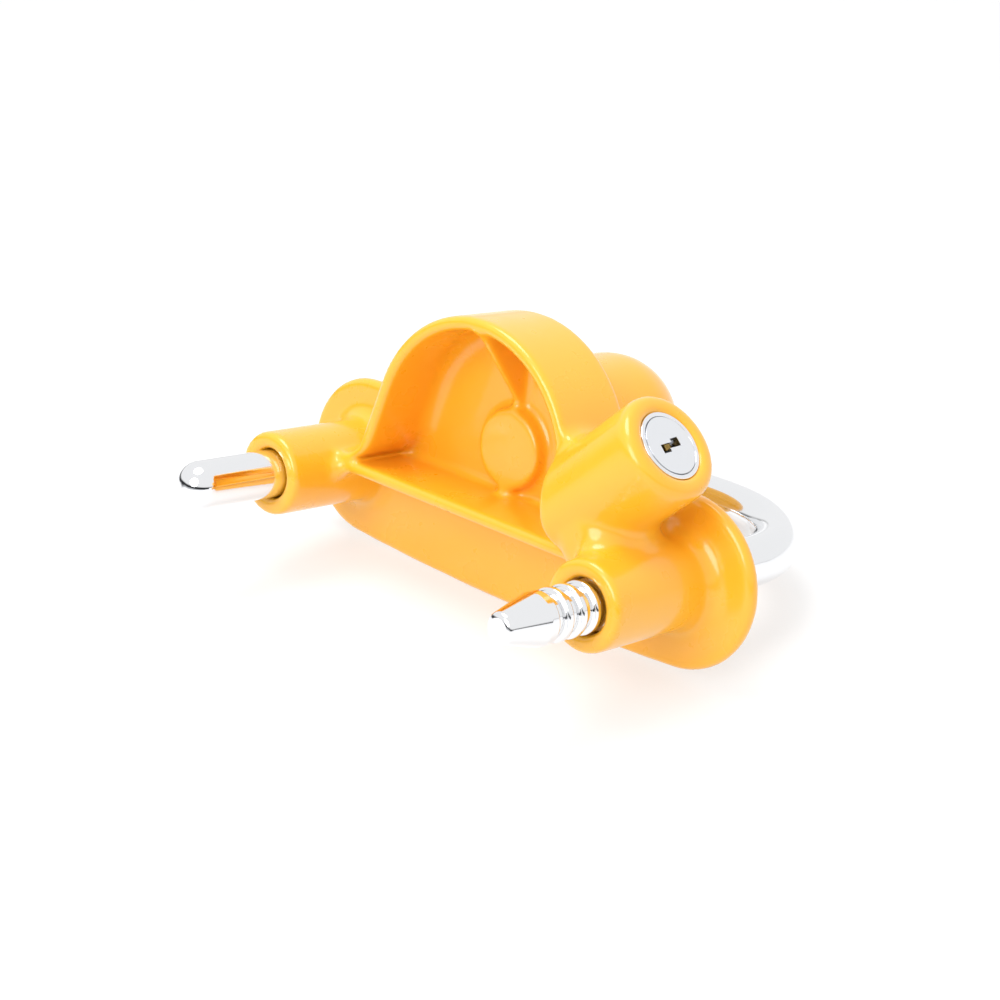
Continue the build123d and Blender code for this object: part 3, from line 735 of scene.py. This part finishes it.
class ShackleSettings(bpy.types.PropertyGroup):
    corner_radius: FloatProperty(
        name="Corner radius",
        description="Radius of the bow's two bends, at the bar's centre",
        default=35 * MM,
        unit="LENGTH",
    )
    notched_tip_y: FloatProperty(
        name="Notched leg's end",
        description="Where the notched leg ends",
        default=-65.5 * MM,
        unit="LENGTH",
    )
    cone_length: FloatProperty(
        name="Cone length",
        description="Length of the notched leg's cone",
        default=11 * MM,
        unit="LENGTH",
    )
    cone_tip_radius: FloatProperty(
        name="Cone tip", description="Radius of the cone's blunt end", default=3.6 * MM, unit="LENGTH"
    )
    first_notch_y: FloatProperty(
        name="First notch",
        description="Middle of the notch nearest the tip",
        default=-50.6 * MM,
        unit="LENGTH",
    )
    notch_pitch: FloatProperty(
        name="Notch pitch", description="Distance between notches", default=4.6 * MM, unit="LENGTH"
    )
    notch_width: FloatProperty(
        name="Notch width", description="Width of a notch", default=3.0 * MM, unit="LENGTH"
    )
    notch_depth: FloatProperty(
        name="Notch depth", description="Depth of a notch", default=1.2 * MM, unit="LENGTH"
    )
    notch_count: IntProperty(name="Notches", description="Number of notches", default=9, min=1)
    tip_rounding: FloatProperty(
        name="Tip rounding",
        description="Rounding of the cone's blunt end",
        default=1.0 * MM,
        unit="LENGTH",
    )
    edge_softness: FloatProperty(
        name="Edge softness", description="Run of a notch's side walls", default=0.3 * MM, unit="LENGTH"
    )
    ring_spacing: FloatProperty(
        name="Ring spacing",
        description="Distance between the mesh's rings",
        default=0.2 * MM,
        unit="LENGTH",
    )
    sides: IntProperty(name="Sides", description="Points round the bar", default=44, min=12)
    colour: FloatVectorProperty(
        name="Chrome",
        description="Colour of the chromed bar",
        subtype="COLOR",
        size=3,
        default=srgb("#F1F2F4"),
    )


class LockFaceSettings(bpy.types.PropertyGroup):
    ring_inner: FloatProperty(
        name="Ring bore", description="Radius of the face ring's hole", default=7.5 * MM, unit="LENGTH"
    )
    ring_outer: FloatProperty(
        name="Ring radius", description="Outer radius of the face ring", default=8.62 * MM, unit="LENGTH"
    )
    ring_depth: FloatProperty(
        name="Ring depth",
        description="How deep the ring lies in the barrel",
        default=0.5 * MM,
        unit="LENGTH",
    )
    ring_thickness: FloatProperty(
        name="Ring thickness", description="Thickness of the face ring", default=0.6 * MM, unit="LENGTH"
    )
    ring_corner: FloatProperty(
        name="Ring corner", description="Rounding of the ring's edges", default=0.28 * MM, unit="LENGTH"
    )
    edge: FloatProperty(
        name="Edge rounding",
        description="Rounding of the lock's turned edges",
        default=0.1 * MM,
        unit="LENGTH",
    )
    ring_sides: IntProperty(name="Ring sides", description="Steps round the ring", default=160, min=24)
    edge_segments: IntProperty(name="Edge steps", description="Steps across a rounding", default=2, min=1)
    ring_colour: FloatVectorProperty(
        name="Ring",
        description="Colour of the face ring",
        subtype="COLOR",
        size=3,
        default=srgb("#F1F2F5"),
    )
    plug_colour: FloatVectorProperty(
        name="Plug",
        description="Colour of the key plug",
        subtype="COLOR",
        size=3,
        default=srgb("#EEF0F4"),
    )


class InnerPartSettings(bpy.types.PropertyGroup):
    zinc: FloatVectorProperty(
        name="Zinc",
        description="Colour of the housing",
        subtype="COLOR",
        size=3,
        default=srgb("#B9BBBE"),
    )
    brass: FloatVectorProperty(
        name="Brass",
        description="Colour of the wafers",
        subtype="COLOR",
        size=3,
        default=srgb("#D6B062"),
    )
    wire: FloatVectorProperty(
        name="Wire",
        description="Colour of the springs",
        subtype="COLOR",
        size=3,
        default=srgb("#A7A9AC"),
    )
    steel: FloatVectorProperty(
        name="Steel",
        description="Colour of the pawl and pin",
        subtype="COLOR",
        size=3,
        default=srgb("#9A9CA0"),
    )
    rubber: FloatVectorProperty(
        name="Rubber", description="Colour of the seal", subtype="COLOR", size=3, default=srgb("#17171A")
    )


class StudioSettings(bpy.types.PropertyGroup):
    azimuth: FloatProperty(
        name="Azimuth",
        description="Where the camera stands, round from the tubes' side towards the key",
        default=radians(42.49),
        subtype="ANGLE",
    )
    elevation: FloatProperty(
        name="Elevation",
        description="How far the camera stands above",
        default=radians(17.04),
        subtype="ANGLE",
    )
    roll: FloatProperty(
        name="Roll", description="How far the camera is turned about its view", default=radians(6.35),
        subtype="ANGLE",
    )
    distance: FloatProperty(
        name="Distance",
        description="From the camera to the tubes' mouths",
        default=475.87 * MM,
        unit="LENGTH",
    )
    aim_right: FloatProperty(
        name="Aim right",
        description="Middle of the view, to the right",
        default=21.5 * MM,
        unit="LENGTH",
    )
    aim_up: FloatProperty(
        name="Aim up", description="Middle of the view, upwards", default=8.68 * MM, unit="LENGTH"
    )
    lens: FloatProperty(name="Lens", description="Focal length in millimetres", default=70.0, min=10.0)
    soft_light: FloatProperty(
        name="Soft light",
        description="Strength of the surroundings",
        default=0.95,
    )
    floor_glow: FloatProperty(name="Floor glow", description="Light that the floor gives", default=0.6)
    floor_half: FloatProperty(
        name="Floor half", description="Half the floor's width", default=3.0, unit="LENGTH"
    )
    floor_gap: FloatProperty(
        name="Floor gap", description="From the plate to the floor", default=0.3 * MM, unit="LENGTH"
    )
    floor_colour: FloatVectorProperty(
        name="Floor", description="Colour of the floor", subtype="COLOR", size=3, default=srgb("#A4A4A4")
    )
    key_light: FloatProperty(name="Key light", description="Power of the large lamp above", default=3.5)
    fill_light: FloatProperty(name="Fill light", description="Power of the lamp in front", default=4.0)


# ---- Operators ----------------------------------------------------------------------------------


class LOCK_OT_cast_body(bpy.types.Operator):
    """Cast body: the CAD body with a casting's fillets and rounded edges, powder coated"""

    bl_idname = "coupler_lock.cast_body"
    bl_label = "Cast Body"

    def execute(self, context):
        settings = context.scene.coated_body
        points, triangles = node_triangles("lock_body")
        voxel = settings.shaping_grid / MM
        surface, distances, low = cast_rounding(
            points, triangles, voxel, settings.fillet / MM, settings.tight_fillet / MM, settings.edge / MM
        )
        if not len(surface[0]):
            raise RuntimeError("the casting's rounding left no surface")
        grid = level_set(*surface, settings.mesh_grid / MM, settings.mesh_grid / MM)
        mesh = mesh_from("cast_body", *grid.convertToPolygons(0.0, 0.0))
        outward(mesh)
        mesh.shade_smooth()
        smooth_normals(mesh, distances, low, voxel)
        body = add_object("cast_body", mesh)
        coat = powder_coat(tuple(settings.colour), tuple(settings.shade))
        place_piece(body, "body", ["lock_body"], coat)
        return {"FINISHED"}


class LOCK_OT_shackle(bpy.types.Operator):
    """Shackle: chromed bar bent to a U, with a domed leg and a notched, coned leg"""

    bl_idname = "coupler_lock.shackle"
    bl_label = "Shackle"

    def execute(self, context):
        settings = context.scene.lock_shackle
        chrome = chromed_bar(tuple(settings.colour))
        bar = grown_mesh(
            "shackle_bar",
            shackle_tree(),
            {
                "Bar Radius": BAR_RADIUS,
                "Leg X": LEG_X,
                "Bow Y": BOW_Y,
                "Corner Radius": settings.corner_radius,
                "Plain Tip Y": SHACKLE_LOW[1],
                "Notched Tip Y": settings.notched_tip_y,
                "Cone Length": settings.cone_length,
                "Cone Tip Radius": settings.cone_tip_radius,
                "Tip Rounding": settings.tip_rounding,
                "First Notch Y": settings.first_notch_y,
                "Notch Pitch": settings.notch_pitch,
                "Notch Width": settings.notch_width,
                "Notch Depth": settings.notch_depth,
                "Last Notch": settings.notch_count - 1.0,
                "Edge Softness": settings.edge_softness,
                "Ring Spacing": settings.ring_spacing,
                "Sides": settings.sides,
                "Material": chrome,
            },
        )
        if not len(bar.data.polygons):
            raise RuntimeError("the shackle's node tree gave no faces")
        outward(bar.data)
        place_piece(bar, "shackle", ["shackle"], chrome)
        return {"FINISHED"}


class LOCK_OT_lock_face(bpy.types.Operator):
    """Lock face: pressed ring and turned key plug with its keyway"""

    bl_idname = "coupler_lock.lock_face"
    bl_label = "Lock Face"

    def execute(self, context):
        settings = context.scene.lock_face
        inner, outer = settings.ring_inner, settings.ring_outer
        near = settings.ring_depth
        far = near + settings.ring_thickness
        corner = settings.ring_corner
        turn = [radians(angle) for angle in (0, 22.5, 45, 67.5, 90)]
        profile = [(inner, far)]
        profile += [
            (inner + corner - corner * cos(angle), near + corner - corner * sin(angle)) for angle in turn
        ]
        profile += [
            (outer - corner + corner * sin(angle), near + corner - corner * cos(angle)) for angle in turn
        ]
        profile.append((outer, far))
        ring = lathe("face_ring_pressed", profile, settings.ring_sides)
        stainless = pressed_stainless(tuple(settings.ring_colour))
        place_piece(ring, "body", ["face_ring"], stainless)

        plug = bevelled_copy("key_plug", "cylinder_plug", settings.edge, settings.edge_segments)
        plating = nickel_chrome(tuple(settings.plug_colour))
        place_piece(plug, "key_cylinder", ["cylinder_plug"], plating)
        return {"FINISHED"}


class LOCK_OT_inner_parts(bpy.types.Operator):
    """Inner parts: finishes for the housing, seal, wafers, springs, pawl and pin"""

    bl_idname = "coupler_lock.inner_parts"
    bl_label = "Inner Parts"

    def execute(self, context):
        settings = context.scene.inner_parts
        finishes = {
            "housing_zinc": plated_zinc(tuple(settings.zinc), srgb("#77797D")),
            "wafer_brass": stamped_brass(tuple(settings.brass), srgb("#9A7434")),
            "spring_steel": spring_wire(tuple(settings.wire), srgb("#6C6258")),
            "pawl_steel": ground_tool_steel(tuple(settings.steel), srgb("#5E5D5C")),
            "seal_rubber": nitrile_rubber(tuple(settings.rubber), srgb("#3A3A3D")),
        }
        for part in frame["record"]["subparts"]:
            finish = finishes.get(part["material_slot"])
            if finish:
                for place in frame["nodes"][part["node"]].material_slots:
                    place.material = finish
        self.add_pawl_coil(finishes["spring_steel"])
        return {"FINISHED"}

    def add_pawl_coil(self, finish):
        """The pawl's spring: a copy of its CAD mesh with its own mesh data, riding with the body."""
        coil = add_object("pawl_coil", frame["nodes"]["pawl_spring"].data.copy())
        place_piece(coil, "body", ["pawl_spring"], finish)
        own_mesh(coil)


class LOCK_OT_studio(bpy.types.Operator):
    """Studio: camera, soft lights and a pale floor that the lock rests on"""

    bl_idname = "coupler_lock.studio"
    bl_label = "Studio"

    def execute(self, context):
        settings = context.scene.studio
        scene = context.scene
        self.add_camera(scene, settings)
        self.add_floor(settings)
        self.add_lights(scene, settings)
        return {"FINISHED"}

    def add_camera(self, scene, settings):
        a, e, roll = settings.azimuth, settings.elevation, settings.roll
        back = Vector((sin(a) * cos(e), -cos(a) * cos(e), sin(e)))
        level = Vector((cos(a), sin(a), 0))
        above = back.cross(level)
        right = level * cos(roll) + above * sin(roll)
        up = above * cos(roll) - level * sin(roll)
        mouths = Vector((0, BODY_LOW[1], 0))
        place = mouths + back * settings.distance + right * settings.aim_right + up * settings.aim_up
        lens = bpy.data.cameras.new("camera")
        lens.lens = settings.lens
        lens.sensor_width = 36.0
        lens.clip_start = 10 * MM
        camera = bpy.data.objects.new("camera", lens)
        camera.matrix_world = Matrix.Translation(place) @ Matrix((right, up, back)).transposed().to_4x4()
        scene.collection.objects.link(camera)
        scene.camera = camera

    def add_floor(self, settings):
        # The lock rests on the plate's lower edge, and the bow clears the floor when it is drawn out
        plate = Vector((0, -2 * MM, BODY_LOW[2]))
        drawn_out = BOW_Y + BAR_RADIUS * 0.25 + JOINTS["shackle_slide"]["range_m"][1]
        bow = Vector((0, drawn_out, SHACKLE_LOW[2]))
        slope = asin((bow.z - plate.z) / (bow - plate).length)
        along = Vector((0, cos(slope), sin(slope)))
        normal = Vector((0, -sin(slope), cos(slope)))
        centre = plate - normal * settings.floor_gap
        half = settings.floor_half
        work = bmesh.new()
        cells = 12
        for row in range(cells + 1):
            for column in range(cells + 1):
                x = (2 * column / cells - 1) * half
                y = (2 * row / cells - 1) * half
                work.verts.new(centre + Vector((x, 0, 0)) + along * y)
        work.verts.ensure_lookup_table()
        for row in range(cells):
            for column in range(cells):
                corner = row * (cells + 1) + column
                work.faces.new([work.verts[corner + step] for step in (0, 1, cells + 2, cells + 1)])
        mesh = bpy.data.meshes.new("floor")
        work.to_mesh(mesh)
        work.free()
        mesh.materials.append(backlit_acrylic(tuple(settings.floor_colour), settings.floor_glow))
        floor = add_object("floor", mesh)

    def add_lights(self, scene, settings):
        world = bpy.data.worlds.new("studio")
        world.use_nodes = True
        self.paint_surroundings(world.node_tree, settings.soft_light)
        scene.world = world
        for name, place, size, power in (
            ("key", (-0.15, -0.25, 0.8), 0.5, settings.key_light),
            ("fill", (0.15, -0.85, 0.35), 0.6, settings.fill_light),
        ):
            lamp = bpy.data.lights.new(name, "AREA")
            lamp.shape = "DISK"
            lamp.size = size
            lamp.energy = power
            holder = bpy.data.objects.new(name, lamp)
            holder.location = place
            holder.rotation_euler = (-Vector(place)).to_track_quat("-Z", "Y").to_euler()
            scene.collection.objects.link(holder)
        scene.view_settings.view_transform = "Standard"

    def paint_surroundings(self, tree, strength):
        """A white room with a dark band near the floor, seen in the chrome; white to the camera."""
        tree.nodes.clear()
        way = node(tree, "ShaderNodeTexCoord").outputs["Generated"]
        height = node(tree, "ShaderNodeSeparateXYZ", links={"Vector": way}).outputs["Z"]
        share = node(tree, "ShaderNodeMapRange", {"From Min": -0.4}, {"Value": height})
        ramp = node(tree, "ShaderNodeValToRGB", links={"Fac": share})
        steps = ramp.color_ramp.elements
        steps[0].position, steps[0].color = 0.0, rgba(srgb("#C8C8CA"))
        steps[1].position, steps[1].color = 1.0, rgba(srgb("#FFFFFF"))
        for place, tone in ((0.22, "#C8C9CC"), (0.25, "#1E1F22"), (0.33, "#2C2D30"), (0.39, "#FFFFFF")):
            steps.new(place).color = rgba(srgb(tone))
        room = node(tree, "ShaderNodeBackground", {"Strength": strength}, {"Color": ramp.outputs["Color"]})
        plain = node(tree, "ShaderNodeBackground", {"Color": rgba(srgb("#FFFFFF")), "Strength": 1.0})
        seen = node(tree, "ShaderNodeLightPath").outputs["Is Camera Ray"]
        links = {0: seen, 1: room.outputs[0], 2: plain.outputs[0]}
        chosen = node(tree, "ShaderNodeMixShader", links=links)
        node(tree, "ShaderNodeOutputWorld", links={"Surface": chosen.outputs[0]})


class LOCK_PT_builder(bpy.types.Panel):
    """Sidebar panel with the lock's sizes, colours and builders"""

    bl_idname = "LOCK_PT_builder"
    bl_label = "Trailer Coupler Lock"
    bl_space_type = "VIEW_3D"
    bl_region_type = "UI"
    bl_category = "Coupler Lock"

    def draw(self, context):
        for group, builder in STEPS:
            box = self.layout.box()
            settings = getattr(context.scene, group)
            for name in settings.__annotations__:
                box.prop(settings, name)
            box.operator(builder.bl_idname)


GROUPS = {
    "coated_body": CoatedBodySettings,
    "lock_shackle": ShackleSettings,
    "lock_face": LockFaceSettings,
    "inner_parts": InnerPartSettings,
    "studio": StudioSettings,
}

STEPS = (
    ("coated_body", LOCK_OT_cast_body),
    ("lock_shackle", LOCK_OT_shackle),
    ("lock_face", LOCK_OT_lock_face),
    ("inner_parts", LOCK_OT_inner_parts),
    ("studio", LOCK_OT_studio),
)


def register():
    for name, group in GROUPS.items():
        bpy.utils.register_class(group)
        setattr(bpy.types.Scene, name, PointerProperty(type=group))
    for _, builder in STEPS:
        bpy.utils.register_class(builder)
    bpy.utils.register_class(LOCK_PT_builder)


def unregister():
    bpy.utils.unregister_class(LOCK_PT_builder)
    for _, builder in reversed(STEPS):
        bpy.utils.unregister_class(builder)
    for name, group in GROUPS.items():
        delattr(bpy.types.Scene, name)
        bpy.utils.unregister_class(group)


def main():
    register()
    bpy.ops.coupler_lock.cast_body()
    bpy.ops.coupler_lock.shackle()
    bpy.ops.coupler_lock.lock_face()
    bpy.ops.coupler_lock.inner_parts()
    bpy.ops.coupler_lock.studio()


if __name__ == "__main__":
    main()
